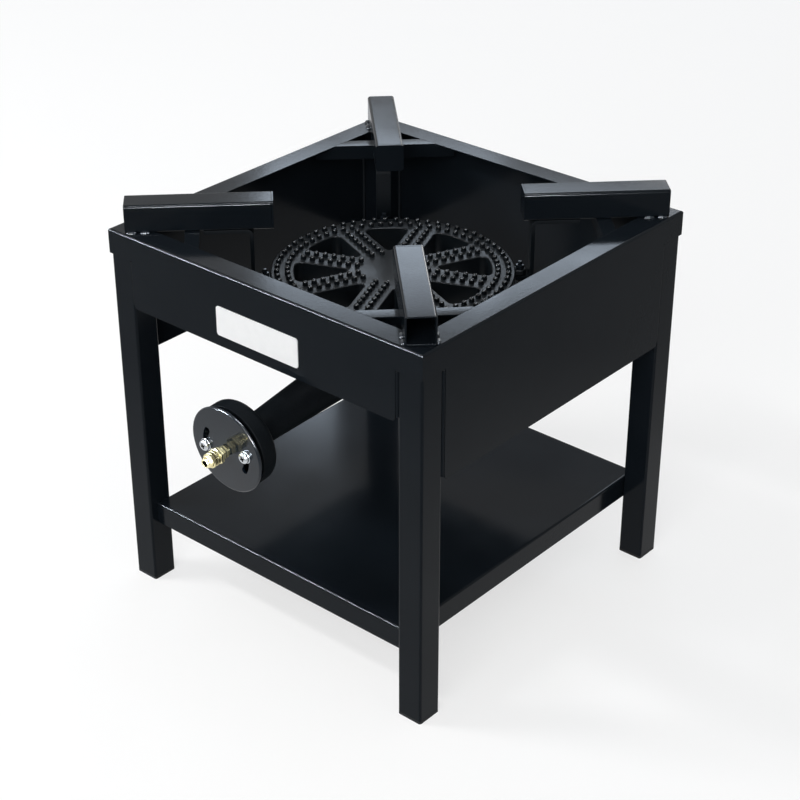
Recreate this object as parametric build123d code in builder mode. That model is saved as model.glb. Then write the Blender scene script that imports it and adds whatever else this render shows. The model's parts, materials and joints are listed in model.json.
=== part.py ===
from build123d import *
import os
from math import cos, radians, sin, sqrt, tan

# Square gas stove: a welded sheet and tube frame, a cast burner wheel hung from four diagonal pot supports,
# and a mixing tube with an air shutter at the front.
# Millimetres, +Z up, front along -Y, origin on the floor under the middle of the frame.

# Frame
frame_side = 420.0
rim_height = 422.0
sheet = 1.5
sheet_bend = 1.0
rim_flange = 26.0
band_height = 27.0
front_apron_height = 81.0
right_apron_height = 146.5
rear_apron_height = 156.5
apron_corner = 5.0
leg_side = 29.5
leg_wall = 1.5
leg_corner = 2.5
leg_inner_corner = 1.0
leg_slit = 2.0

# Foot plugs
plug_flange = 3.0
plug_depth = 18.0
plug_wall = 2.5
plug_clearance = 0.15

# Shelf tray
shelf_height = 98.0
shelf_flange = 26.0
shelf_setback = 10.0

# Corner braces and pot supports
brace_setback = 78.5
brace_width = 15.0
brace_depth = 16.0
brace_lap = 15.0
support_side = 30.0
support_wall = 2.0
support_corner = 3.0
support_inner_corner = 1.0
support_setback = 18.0
support_overhang = 14.5
end_plate = 2.0

# Burner head
burner_radius = 127.0
burner_drop = 53.0
burner_shift = 9.0
head_depth = 34.0
head_wall = 4.0
head_chamfer = 1.0
ring_width = 24.0
spoke_count = 8
spoke_width = 30.0
opening_tip = 5.0
opening_corner = 8.0
port_base = 6.0
port_height = 4.5
port_taper = 12.0
port_sides = 6
port_pitch = 10.0
ring_ports = 64
ring_row_edge = 6.5
ring_row_gap = 11.0
spoke_row_gap = 12.0
spoke_row_start = 37.0
neck_radius = 40.0
neck_length = 8.0
neck_bore = 20.0

# Burner ears, hangers and their fasteners
ear_radius = 6.5
ear_thickness = 6.0
ear_drop = 4.0
ear_reach = 6.0
hanger_thickness = 4.0
hanger_width = 16.0
hanger_bend = 3.0
hanger_gap = 4.0
hanger_foot = 5.5
bolt_thread = 5.0
bolt_clearance = 0.2
bolt_head = 8.0
bolt_head_height = 3.5
nut_height = 4.5
bolt_tip = 4.0

# Mixing tube
tube_drop = 106.0
tube_lean = 4.5
elbow_radius = 33.0
elbow_stub = 2.0
tube_end_radius = 26.0
tube_throat_radius = 17.0
tube_wall = 4.0
tube_flange = 7.0
gasket = 1.0
flange_bolt_radius = 33.5
bell_radius = 45.0
bell_wall = 4.0
bell_depth = 13.0
bell_shoulder = 8.5
bell_fillet = 9.0

# Air shutter, its screws and the gas inlet
shutter_reach = 259.0
shutter_radius = 47.0
shutter_thickness = 3.0
shutter_edge = 1.0
shutter_gap = 5.0
shutter_play = 0.1
slot_radius = 28.0
slot_width = 7.0
slot_start = 7.4
slot_sweep = 38.0
screw_thread = 6.0
screw_fit = 0.05
screw_head = 12.0
screw_head_height = 4.0
screw_depth = 10.0
washer_radius = 6.8
washer_thickness = 1.2
bridge_width = 16.0
bridge_thickness = 8.0
boss_radius = 11.0
boss_length = 18.0
inlet_shank = 10.4
inlet_shank_reach = 9.0
inlet_shank_depth = 12.0
inlet_hex = 16.0
inlet_hex_length = 5.0
inlet_thread = 15.9
inlet_thread_length = 11.0
inlet_nose = 4.0
inlet_nose_radius = 4.6
inlet_bore = 5.2
turning_clearance = 0.3
jet_hex = 13.0
jet_hex_length = 5.0
jet_nose_length = 6.0
jet_nose_radius = 3.0
jet_bore = 1.6

# Badge plate
badge_width = 110.0
badge_height = 32.0
badge_corner = 3.0
badge_thickness = 1.0
badge_drop = 36.5

# Derived places
half = frame_side / 2
wall_face = half - sheet
leg_centre = wall_face - leg_side / 2
leg_top = rim_height - sheet - sheet_bend
leg_bore = leg_side - 2 * leg_wall
band_bottom = rim_height - band_height
notch = sheet + leg_side + leg_slit
rim_edge = half - rim_flange
corner_reach = half * sqrt(2)
brace_reach = corner_reach - brace_setback - brace_width

burner_top = rim_height - burner_drop
burner_bottom = burner_top - head_depth
burner_axis = Axis((0, -burner_shift, 0), (0, 0, 1))
burner_plane = Plane((0, -burner_shift, 0))
ring_inner = burner_radius - ring_width
ear_top = burner_top - ear_drop
foot_top = ear_top - ear_thickness
bolt_hole = bolt_thread / 2 + bolt_clearance
ear_circle = burner_radius + ear_reach
web_inner = ear_circle + ear_radius + hanger_bend
web_outer = web_inner + hanger_thickness
support_reach = web_inner - support_overhang

neck_bottom = burner_bottom - neck_length
flange_top = neck_bottom - gasket
flange_bottom = flange_top - tube_flange
tube_axis = burner_top - tube_drop
elbow_top = flange_bottom - elbow_stub
elbow_axis = elbow_top - elbow_radius
elbow_front = burner_shift + elbow_radius

shutter_back = shutter_reach - shutter_thickness
boss_face = shutter_back - shutter_play
bell_rim = shutter_back - shutter_gap
bell_back = bell_rim - bell_depth
boss_back = boss_face - boss_length
washer_face = shutter_reach + shutter_play
hex_face = shutter_reach + inlet_shank_reach
thread_face = hex_face + inlet_hex_length
nose_face = thread_face + inlet_thread_length
shank_end = boss_face - inlet_shank_depth

# The bell leans down towards the front, about the middle of the shutter's face
tube_way = Vector(0, -cos(radians(tube_lean)), -sin(radians(tube_lean)))
tube_start = Vector(0, -shutter_reach, tube_axis) - tube_way * shutter_reach
tube_line = Axis(tube_start, tube_way)
axis_plane = Plane(tube_start, x_dir=tube_way, z_dir=(1, 0, 0))

corners = {"front_right": 0, "back_right": 90, "back_left": 180, "front_left": 270}


def front_plane(reach):
    """Plane square to the bell's leaning axis, this far along it."""
    return Plane(tube_start + tube_way * reach, x_dir=(1, 0, 0), z_dir=tube_way)


def save(shape, name):
    """Names a finished piece and writes it as a node."""
    shape.label = name
    export_step(shape, f"parts/{name}.step")


os.makedirs("parts", exist_ok=True)

# Legs: square tube up to the underside of the rim
with BuildPart() as leg:
    with BuildSketch(Plane.XY.offset(plug_flange)):
        with Locations((leg_centre, -leg_centre)):
            RectangleRounded(leg_side, leg_side, leg_corner)
            RectangleRounded(leg_bore, leg_bore, leg_inner_corner, mode=Mode.SUBTRACT)
    extrude(amount=leg_top - plug_flange)

# Foot plugs: a hollow plug inside the leg and a flange under its end
plug_side = leg_bore - 2 * plug_clearance
with BuildPart() as foot_plug:
    with BuildSketch():
        with Locations((leg_centre, -leg_centre)):
            RectangleRounded(leg_side, leg_side, leg_corner)
    extrude(amount=plug_flange)
    with BuildSketch(Plane.XY.offset(plug_flange)):
        with Locations((leg_centre, -leg_centre)):
            RectangleRounded(plug_side, plug_side, leg_inner_corner)
            Rectangle(plug_side - 2 * plug_wall, plug_side - 2 * plug_wall, mode=Mode.SUBTRACT)
    extrude(amount=plug_depth)

# Corner braces: a strip between the rim's edges, with a face turned down under the flanges
strip_middle = brace_reach + brace_width / 2
face_middle = brace_reach + sheet / 2
face_end = rim_edge + brace_lap
with BuildPart() as corner_brace:
    with BuildSketch(Plane.XY.offset(rim_height - sheet)):
        with Locations(Location((strip_middle / sqrt(2), -strip_middle / sqrt(2), 0), (0, 0, -45))):
            Rectangle(brace_width, 2 * frame_side)
        Rectangle(2 * rim_edge, 2 * rim_edge, mode=Mode.INTERSECT)
    extrude(amount=sheet)
    with BuildSketch(Plane.XY.offset(rim_height - brace_depth)):
        with Locations(Location((face_middle / sqrt(2), -face_middle / sqrt(2), 0), (0, 0, -45))):
            Rectangle(sheet, 2 * frame_side)
        Rectangle(2 * face_end, 2 * face_end, mode=Mode.INTERSECT)
    extrude(amount=brace_depth - sheet)

# Pot supports: square tube on the diagonal, closed at its inner end by a plate
support_length = corner_reach - support_setback - support_reach - end_plate
support_middle = rim_height + support_side / 2
support_bore = support_side - 2 * support_wall


def support_plane(reach, turn=0):
    """Plane square to a pot support, turned from the front right one, this far from the frame's middle."""
    angle = radians(turn - 45)
    place = (reach * cos(angle), reach * sin(angle), support_middle)
    return Plane(place, x_dir=(-sin(angle), cos(angle), 0), z_dir=(cos(angle), sin(angle), 0))


with BuildPart() as pot_support:
    with BuildSketch(support_plane(support_reach + end_plate)):
        RectangleRounded(support_side, support_side, support_corner)
        RectangleRounded(support_bore, support_bore, support_inner_corner, mode=Mode.SUBTRACT)
    extrude(amount=support_length)

with BuildPart() as pot_support_end_plates:
    with BuildSketch(*[support_plane(support_reach, turn) for turn in corners.values()]):
        RectangleRounded(support_side, support_side, support_corner)
    extrude(amount=end_plate)
save(pot_support_end_plates.part, "pot_support_end_plates")

# Burner hangers: strap with a tab under the pot support and a foot under the burner's ear
hanger_plane = Plane((0, -burner_shift, 0), x_dir=(1, -1, 0), z_dir=(-1, -1, 0))
foot_inner = ear_circle - hanger_foot
tab_outer = brace_reach - burner_shift / sqrt(2) - hanger_gap
with BuildPart() as burner_hanger:
    with BuildSketch(hanger_plane) as strap:
        with BuildLine():
            Polyline(
                (foot_inner, foot_top - hanger_thickness),
                (web_outer, foot_top - hanger_thickness),
                (web_outer, rim_height - hanger_thickness),
                (tab_outer, rim_height - hanger_thickness),
                (tab_outer, rim_height),
                (web_inner, rim_height),
                (web_inner, foot_top),
                (foot_inner, foot_top),
                close=True,
            )
        make_face()
        for corner in ((web_outer, foot_top - hanger_thickness), (web_inner, rim_height)):
            fillet(strap.vertices().sort_by_distance(corner)[0], hanger_bend + hanger_thickness)
        for corner in ((web_outer, rim_height - hanger_thickness), (web_inner, foot_top)):
            fillet(strap.vertices().sort_by_distance(corner)[0], hanger_bend)
    extrude(amount=hanger_width / 2, both=True)
    with BuildSketch(burner_plane.offset(foot_top)):
        with PolarLocations(ear_circle, 1, start_angle=-45):
            Circle(bolt_hole)
    extrude(amount=-hanger_thickness, mode=Mode.SUBTRACT)

# The four corners share one leg, plug, brace, pot support and hanger, turned a quarter each
for corner, turn in corners.items():
    save(leg.part.rotate(Axis.Z, turn), f"leg_{corner}")
    save(foot_plug.part.rotate(Axis.Z, turn), f"foot_plug_{corner}")
    save(corner_brace.part.rotate(Axis.Z, turn), f"corner_brace_{corner}")
    save(pot_support.part.rotate(Axis.Z, turn), f"pot_support_{corner}")
    save(burner_hanger.part.rotate(burner_axis, turn), f"burner_hanger_{corner}")

# Aprons: folded sheet with a rim on top, mitred at the corners and notched beside the legs
aprons = {
    "front": (0, front_apron_height),
    "right": (90, right_apron_height),
    "back": (180, rear_apron_height),
    "left": (270, rear_apron_height),
}
for side, (turn, height) in aprons.items():
    lower_edge = rim_height - height
    with BuildPart() as apron:
        with BuildSketch(Plane.YZ) as section:
            with BuildLine():
                Polyline(
                    (-half, lower_edge),
                    (-half, rim_height),
                    (-rim_edge, rim_height),
                    (-rim_edge, rim_height - sheet),
                    (-wall_face, rim_height - sheet),
                    (-wall_face, lower_edge),
                    close=True,
                )
            make_face()
            fillet(section.vertices().sort_by_distance((-half, rim_height))[0], sheet_bend + sheet)
            fillet(section.vertices().sort_by_distance((-wall_face, rim_height - sheet))[0], sheet_bend)
        extrude(amount=half, both=True)
        with Locations((half, -half, lower_edge), (-half, -half, lower_edge)):
            Box(2 * notch, 2 * rim_flange, band_bottom - lower_edge,
                align=(Align.CENTER, Align.CENTER, Align.MIN), mode=Mode.SUBTRACT)
        with BuildSketch(Plane.XY.offset(lower_edge)):
            with BuildLine():
                Polyline((-half, -half), (half, -half), (0, 0), close=True)
            make_face()
        extrude(amount=height, mode=Mode.INTERSECT)
        fillet(apron.edges().filter_by(Axis.Y).group_by(Axis.Z)[0], apron_corner)
    save(apron.part.rotate(Axis.Z, turn), f"apron_{side}")

# Shelf tray: folded down all round, its sides against the legs
shelf_half_width = wall_face - leg_side
shelf_half_depth = wall_face - shelf_setback
with BuildPart() as shelf_tray:
    with BuildSketch(Plane.XY.offset(shelf_height - shelf_flange)):
        Rectangle(2 * shelf_half_width, 2 * shelf_half_depth)
    extrude(amount=shelf_flange)
    fillet(shelf_tray.edges().group_by(Axis.Z)[-1], sheet_bend + sheet)
    offset(amount=-sheet, openings=shelf_tray.faces().sort_by(Axis.Z)[0])
save(shelf_tray.part, "shelf_tray")

# Burner head: hollow cast wheel with raised ports on its ring and spokes
spoke_turn = 360 / spoke_count
ring_rows = [burner_radius - ring_row_edge, burner_radius - ring_row_edge - ring_row_gap]
spoke_ports = int((ring_rows[1] - port_pitch - spoke_row_start) // port_pitch) + 1
spoke_row_middle = spoke_row_start + port_pitch * (spoke_ports - 1) / 2
opening_angle = radians(spoke_turn / 2)
opening_apex = spoke_width / 2 / sin(opening_angle)
opening_spread = (burner_radius - opening_apex) * tan(opening_angle)
with BuildSketch() as opening:
    with BuildLine():
        Polyline(
            (opening_apex, 0),
            (burner_radius, opening_spread),
            (burner_radius, -opening_spread),
            close=True,
        )
    make_face()
    Circle(ring_inner, mode=Mode.INTERSECT)
    fillet(opening.vertices().sort_by(Axis.X)[0], opening_tip)
    fillet(opening.vertices().sort_by(Axis.X)[-2:], opening_corner)

with BuildSketch() as wheel:
    Circle(burner_radius)
    with PolarLocations(0, spoke_count):
        add(opening.sketch, mode=Mode.SUBTRACT)

with BuildPart() as burner_head:
    with BuildSketch(burner_plane.offset(burner_bottom)):
        add(wheel.sketch)
    extrude(amount=head_depth)
    chamfer(burner_head.faces().sort_by(Axis.Z)[-1].edges(), head_chamfer)
    with BuildSketch(burner_plane.offset(foot_top)):
        with PolarLocations(ear_circle - ring_width / 2, 4, start_angle=45):
            SlotCenterToCenter(ring_width, 2 * ear_radius)
    extrude(amount=ear_thickness)
    with BuildSketch(burner_plane.offset(neck_bottom)):
        Circle(neck_radius)
    extrude(amount=neck_length)
    with BuildSketch(burner_plane.offset(burner_bottom + head_wall)):
        add(wheel.sketch)
        offset(amount=-head_wall, mode=Mode.REPLACE)
    extrude(amount=head_depth - 2 * head_wall, mode=Mode.SUBTRACT)
    with BuildSketch(burner_plane.offset(neck_bottom)):
        Circle(neck_bore)
    extrude(amount=neck_length + head_wall, mode=Mode.SUBTRACT)
    with BuildSketch(burner_plane.offset(neck_bottom)):
        with PolarLocations(flange_bolt_radius, 2):
            Circle(bolt_hole)
    extrude(amount=neck_length, mode=Mode.SUBTRACT)
    with BuildSketch(burner_plane.offset(foot_top)):
        with PolarLocations(ear_circle, 4, start_angle=45):
            Circle(bolt_hole)
    extrude(amount=ear_thickness, mode=Mode.SUBTRACT)
    with BuildSketch(burner_plane.offset(burner_top)):
        for row, radius in enumerate(ring_rows):
            with PolarLocations(radius, ring_ports, start_angle=180 / ring_ports * row):
                RegularPolygon(port_base / 2, port_sides)
        with PolarLocations(spoke_row_middle, spoke_count, start_angle=spoke_turn / 2):
            with GridLocations(port_pitch, spoke_row_gap, spoke_ports, 2):
                RegularPolygon(port_base / 2, port_sides)
    extrude(amount=port_height, taper=port_taper)
save(burner_head.part, "burner_head")

# Bolts and nuts that hold the ears on the hangers
with BuildPart() as burner_bolts:
    with BuildSketch(burner_plane.offset(foot_top - hanger_thickness - bolt_head_height)):
        with PolarLocations(ear_circle, 4, start_angle=45):
            RegularPolygon(bolt_head / 2, 6, major_radius=False)
    extrude(amount=bolt_head_height)
    with BuildSketch(burner_plane.offset(foot_top - hanger_thickness)):
        with PolarLocations(ear_circle, 4, start_angle=45):
            Circle(bolt_thread / 2)
    extrude(amount=hanger_thickness + ear_thickness + nut_height + bolt_tip)
save(burner_bolts.part, "burner_bolts")

with BuildPart() as burner_nuts:
    with BuildSketch(burner_plane.offset(ear_top)):
        with PolarLocations(ear_circle, 4, start_angle=45):
            RegularPolygon(bolt_head / 2, 6, major_radius=False)
            Circle(bolt_thread / 2 + screw_fit, mode=Mode.SUBTRACT)
    extrude(amount=nut_height)
save(burner_nuts.part, "burner_nuts")

# Gasket and bolts between burner head and mixing tube
with BuildPart() as flange_gasket:
    with BuildSketch(burner_plane.offset(flange_top)):
        Circle(neck_radius)
        Circle(neck_bore, mode=Mode.SUBTRACT)
        with PolarLocations(flange_bolt_radius, 2):
            Circle(bolt_hole, mode=Mode.SUBTRACT)
    extrude(amount=gasket)
save(flange_gasket.part, "flange_gasket")

with BuildPart() as flange_bolts:
    with BuildSketch(burner_plane.offset(flange_bottom - bolt_head_height)):
        with PolarLocations(flange_bolt_radius, 2):
            RegularPolygon(bolt_head / 2, 6, major_radius=False)
    extrude(amount=bolt_head_height)
    with BuildSketch(burner_plane.offset(flange_bottom)):
        with PolarLocations(flange_bolt_radius, 2):
            Circle(bolt_thread / 2)
    extrude(amount=tube_flange + gasket + neck_length - bolt_clearance)
save(flange_bolts.part, "flange_bolts")

# Mixing tube: bell, flaring tube, elbow and flange in one casting
bell_floor = bell_back - bell_shoulder
near = 0.01
elbow_plane = Plane((0, -elbow_front, elbow_axis), x_dir=(1, 0, 0), z_dir=(0, -1, 0))
elbow_pivot = Axis((0, -elbow_front, elbow_top), (1, 0, 0))
bore_end_radius = tube_end_radius - tube_wall
throat_bore = tube_throat_radius - tube_wall
with BuildPart() as mixing_tube:
    with BuildSketch(front_plane(bell_floor)):
        Circle(tube_throat_radius)
    with BuildSketch(elbow_plane):
        Circle(tube_end_radius)
    loft()
    with BuildSketch(axis_plane):
        with BuildLine():
            Line((bell_floor, 0), (bell_floor, bell_radius - bell_shoulder))
            RadiusArc((bell_floor, bell_radius - bell_shoulder), (bell_back, bell_radius), bell_shoulder)
            Line((bell_back, bell_radius), (bell_rim, bell_radius))
            Line((bell_rim, bell_radius), (bell_rim, 0))
            Line((bell_rim, 0), (bell_floor, 0))
        make_face()
    revolve(axis=tube_line)
    floor_edges = mixing_tube.edges().filter_by_position(tube_line, bell_floor - near, bell_floor + near)
    fillet(floor_edges.sort_by(SortBy.LENGTH)[0], bell_fillet)
    with BuildSketch(elbow_plane):
        Circle(tube_end_radius)
    revolve(axis=elbow_pivot, revolution_arc=90)
    with BuildSketch(burner_plane.offset(elbow_top)):
        Circle(tube_end_radius)
    extrude(amount=flange_bottom - elbow_top)
    with BuildSketch(burner_plane.offset(flange_bottom)):
        Circle(neck_radius)
    extrude(amount=tube_flange)
    with BuildSketch(front_plane(bell_floor)):
        Circle(throat_bore)
    with BuildSketch(elbow_plane):
        Circle(bore_end_radius)
    loft(mode=Mode.SUBTRACT)
    with BuildSketch(axis_plane):
        with BuildLine():
            Polyline(
                (bell_floor, 0),
                (bell_floor, throat_bore),
                (bell_back, bell_radius - bell_wall),
                (bell_rim, bell_radius - bell_wall),
                (bell_rim, 0),
                close=True,
            )
        make_face()
    revolve(axis=tube_line, mode=Mode.SUBTRACT)
    with BuildSketch(elbow_plane):
        Circle(bore_end_radius)
    revolve(axis=elbow_pivot, revolution_arc=90, mode=Mode.SUBTRACT)
    with BuildSketch(burner_plane.offset(elbow_top)):
        Circle(bore_end_radius)
    extrude(amount=flange_top - elbow_top, mode=Mode.SUBTRACT)
    with BuildSketch(burner_plane.offset(flange_bottom)):
        with PolarLocations(flange_bolt_radius, 2):
            Circle(bolt_hole)
    extrude(amount=tube_flange, mode=Mode.SUBTRACT)
    with BuildSketch(front_plane(bell_rim)):
        Rectangle(2 * bell_radius, bridge_width, rotation=slot_start)
        Circle(bell_radius - bell_wall / 2, mode=Mode.INTERSECT)
    extrude(amount=-bridge_thickness)
    with BuildSketch(front_plane(boss_face)):
        Circle(boss_radius)
    extrude(amount=-boss_length)
    with BuildSketch(front_plane(boss_face)):
        with PolarLocations(slot_radius, 2, start_angle=slot_start):
            Circle(bridge_width / 2)
    extrude(amount=bell_rim - boss_face - bridge_thickness)
    with BuildSketch(front_plane(boss_face)):
        Circle(inlet_shank / 2 + screw_fit)
    extrude(amount=-boss_length, mode=Mode.SUBTRACT)
    with BuildSketch(front_plane(boss_face)):
        with PolarLocations(slot_radius, 2, start_angle=slot_start):
            Circle(screw_thread / 2 + screw_fit)
    extrude(amount=bell_rim - boss_face - bridge_thickness, mode=Mode.SUBTRACT)
save(mixing_tube.part, "mixing_tube")

# Air shutter: disc that turns on the inlet's shank, guided by two arc slots
slot_path = CenterArc((0, 0), slot_radius, -slot_sweep, slot_sweep)
with BuildSketch() as slots:
    with PolarLocations(0, 2, start_angle=slot_start):
        SlotArc(slot_path, slot_width)

with BuildPart() as air_shutter:
    with BuildSketch(front_plane(shutter_back)):
        Circle(shutter_radius)
        Circle(inlet_shank / 2 + turning_clearance, mode=Mode.SUBTRACT)
        add(slots.sketch, mode=Mode.SUBTRACT)
    extrude(amount=shutter_thickness)
    rim_edges = air_shutter.edges().filter_by(GeomType.CIRCLE).sort_by(SortBy.RADIUS)[-2:]
    fillet(rim_edges, shutter_edge)
save(air_shutter.part, "air_shutter")

# Screws and washers that hold the shutter at its slots
with BuildPart() as shutter_washers:
    with BuildSketch(front_plane(washer_face)):
        with PolarLocations(slot_radius, 2, start_angle=slot_start):
            Circle(washer_radius)
            Circle(screw_thread / 2 + screw_fit, mode=Mode.SUBTRACT)
    extrude(amount=washer_thickness)
save(shutter_washers.part, "shutter_washers")

head_face = washer_face + washer_thickness
with BuildPart() as shutter_screws:
    with BuildSketch(front_plane(head_face)):
        with PolarLocations(slot_radius, 2, start_angle=slot_start):
            Circle(screw_head / 2)
    extrude(amount=screw_head_height)
    fillet(shutter_screws.faces().group_by(tube_line)[-1].edges(), screw_head_height / 2)
    with BuildSketch(front_plane(head_face)):
        with PolarLocations(slot_radius, 2, start_angle=slot_start):
            Circle(screw_thread / 2)
    extrude(amount=boss_face - screw_depth - head_face)
save(shutter_screws.part, "shutter_screws")

# Inlet fitting: shank through the shutter, hexagon, threaded body and flare nose
with BuildPart() as inlet_fitting:
    with BuildSketch(axis_plane):
        with BuildLine():
            Polyline(
                (shank_end, inlet_bore / 2),
                (shank_end, inlet_shank / 2),
                (hex_face, inlet_shank / 2),
                (thread_face, inlet_shank / 2),
                (thread_face, inlet_thread / 2),
                (nose_face, inlet_thread / 2),
                (nose_face + inlet_nose, inlet_nose_radius),
                (nose_face + inlet_nose, inlet_bore / 2),
                close=True,
            )
        make_face()
    revolve(axis=tube_line)
    with BuildSketch(front_plane(hex_face)):
        RegularPolygon(inlet_hex / 2, 6, major_radius=False)
        Circle(inlet_shank / 2, mode=Mode.SUBTRACT)
    extrude(amount=inlet_hex_length)
save(inlet_fitting.part, "inlet_fitting")

# Orifice jet: screwed into the back of the bell's boss, against the inlet's shank
with BuildPart() as orifice_jet:
    with BuildSketch(axis_plane):
        with BuildLine():
            Polyline(
                (shank_end, jet_bore / 2),
                (shank_end, inlet_shank / 2),
                (boss_back - jet_hex_length, inlet_shank / 2),
                (boss_back - jet_hex_length - jet_nose_length, jet_nose_radius),
                (boss_back - jet_hex_length - jet_nose_length, jet_bore / 2),
                close=True,
            )
        make_face()
    revolve(axis=tube_line)
    with BuildSketch(front_plane(boss_back)):
        RegularPolygon(jet_hex / 2, 6, major_radius=False)
        Circle(inlet_shank / 2, mode=Mode.SUBTRACT)
    extrude(amount=-jet_hex_length)
save(orifice_jet.part, "orifice_jet")

# Badge plate: bare plate on the front apron
with BuildPart() as badge_plate:
    with BuildSketch(Plane.XZ.offset(half)):
        with Locations((0, rim_height - badge_drop - badge_height / 2)):
            RectangleRounded(badge_width, badge_height, badge_corner)
    extrude(amount=badge_thickness)
save(badge_plate.part, "badge_plate")
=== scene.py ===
import json
from math import acos, asin, atan2, cos, pi, radians, sin, sqrt, tan

import bmesh
import bpy
from bpy.props import FloatProperty, FloatVectorProperty, IntProperty, PointerProperty
from mathutils import Matrix, Vector


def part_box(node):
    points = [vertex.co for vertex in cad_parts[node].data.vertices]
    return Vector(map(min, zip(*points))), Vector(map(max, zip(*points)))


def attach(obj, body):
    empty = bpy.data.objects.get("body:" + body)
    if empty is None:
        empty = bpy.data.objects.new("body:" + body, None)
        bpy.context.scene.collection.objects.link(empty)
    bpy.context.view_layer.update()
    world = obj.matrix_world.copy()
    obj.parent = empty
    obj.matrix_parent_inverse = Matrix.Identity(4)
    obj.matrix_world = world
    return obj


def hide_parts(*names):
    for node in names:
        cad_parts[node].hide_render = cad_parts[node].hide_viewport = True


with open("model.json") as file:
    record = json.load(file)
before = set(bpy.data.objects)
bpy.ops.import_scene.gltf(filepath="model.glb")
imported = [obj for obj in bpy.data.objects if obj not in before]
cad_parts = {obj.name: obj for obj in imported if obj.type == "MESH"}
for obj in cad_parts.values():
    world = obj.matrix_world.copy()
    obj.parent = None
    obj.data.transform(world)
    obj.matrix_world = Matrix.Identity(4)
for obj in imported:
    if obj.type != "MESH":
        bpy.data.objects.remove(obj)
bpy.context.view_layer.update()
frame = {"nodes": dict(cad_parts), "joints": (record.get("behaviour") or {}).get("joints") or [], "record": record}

bl_info = {
    "name": "Gas Burner Stove Dressing",
    "version": (1, 0, 0),
    "blender": (4, 5, 0),
    "location": "View3D > Sidebar > Stove",
    "description": "Models the castings, fittings and finishes of a square gas stove around its CAD frame",
    "category": "Object",
}

MM = 0.001
BODY = "stove"
SHUTTER_BODY = "shutter"
UP = Vector((0, 0, 1))
RIGHT = Vector((1, 0, 0))
SIDES = {"front": (0, -1), "right": (1, 0), "back": (0, 1), "left": (-1, 0)}

# Places read from the frame, in metres
HEAD_LOW, HEAD_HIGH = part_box("burner_head")
BURNER = Vector(((HEAD_LOW.x + HEAD_HIGH.x) / 2, (HEAD_LOW.y + HEAD_HIGH.y) / 2, 0))
BURNER_RADIUS = (HEAD_HIGH.x - HEAD_LOW.x) / 2
RIM_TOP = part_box("apron_front")[1].z
NUT_LOW, NUT_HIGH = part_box("burner_nuts")
BOLT_LOW, BOLT_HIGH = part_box("burner_bolts")

# The bell's leaning axis: distances along it are counted from TUBE_START, this many millimetres behind the hinge
HINGE = frame["joints"][0]
HINGE_REACH = 257.5
FORWARD = Vector(HINGE["axis"]).normalized()
TUBE_UP = FORWARD.cross(RIGHT)
TUBE_START = Vector(HINGE["pos_m"]) - FORWARD * HINGE_REACH * MM
LEAN = atan2(FORWARD.z, FORWARD.y) + pi

# Lengths from here down to the lathe profiles are in millimetres, except where they are multiplied by MM

# Closer than these counts as one point, as touching and as square
MERGE_GAP, TOUCH_GAP, SQUARE_GAP = 0.004, 0.01, 0.05
# Edges that turn by more degrees than this are sharp
SHARP = 40

# Burner wheel: the neck under it, the windows' corners, how far their cutters pass the faces, and the ears
WHEEL_SIDES = 160
NECK_RADIUS, NECK_ROUND, NECK_LAP = 40, 1, 2
WINDOW_OUTER_ROUND, WINDOW_INNER_ROUND, WINDOW_CLEAR = 7, 5, 5
EAR_RADIUS, EAR_THICK, EAR_ROOT = 6.5, 6, 18
# The ears' bolts stand on a circle just outside the wheel
EAR_BOLT_OUT = 6
EAR_BOLT_REACH = (BURNER_RADIUS + EAR_BOLT_OUT * MM) * cos(pi / 4)
EAR_BOLT = BURNER + Vector((EAR_BOLT_REACH, EAR_BOLT_REACH, 0))
BOLT_FLATS, BOLT_HEAD = 8, 3.5
SHANK_RADIUS, SHANK_ROUND, SHANK_START = 2.5, 0.8, 2

# Gas ports: ring rows in from the wheel's edge, spoke rows from its middle and beside the spoke's line
RING_ROWS = (6.5, 17.5)
SPOKE_ROW_START, SPOKE_ROW_SIDE = 37, 6
PORT_SIDES, PORT_SUNK, PORT_HOLE_DEPTH = 12, 0.3, 2
# The crown as a share of the foot, and its rounding as a share of the crown
PORT_TAPER, PORT_ROUND = 0.78, 0.5

# Mixing tube: the throat behind the bell, the elbow, the point it bends round and the flange under the wheel
THROAT_REACH, THROAT_RADIUS = 220.5, 17
ELBOW = Vector((0, -42, 284)) * MM
ELBOW_PIVOT = Vector((0, -42, 317)) * MM
FLANGE = Vector((0, -9, 319)) * MM
RUN_RADIUS, RUN_STEPS, ELBOW_STEPS = 26, 6, 12
FLANGE_RADIUS, FLANGE_THICK = 40, 7
TUBE_ROUND = 1
BRIDGE_REACH, BRIDGE_EXTENT = 247, Vector((86, 8, 16)) * MM

# Air shutter: two arc slots round its screws, whose outline has this many points in each of its four parts
SLOT_TILT, SLOT_SWEEP = radians(7.4), radians(38)
SLOT_RADIUS = 28 * MM
SLOT_HALF_WIDTH, SLOT_POINTS = 3.5, 9
SLOT_CUT_START, SLOT_CUT_DEPTH = 262, 9
# The cross recess of the shutter's screws
RECESS_EXTENT, RECESS_TAPER = Vector((7.6, 4.4, 2.3)) * MM, (0.5, 1, 0.7)
RECESS_REACH, RECESS_TURN = 264, 0.35

# Gas inlet: each hexagon's low and high end and width over flats, and the thread
INLET_HEXAGONS = {"hexagon": (268, 273, 16), "shank_hexagon": (260.6, 270, 12)}
THREAD_START, THREAD_LENGTH, THREAD_STEPS = 274.8, 8.4, 32
# Points across the thread's ridge: radius, and place as a share of the pitch
THREAD_RIDGE = ((6.6, 0), (7.95, 0.38), (7.95, 0.5), (6.6, 0.88))

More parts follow.
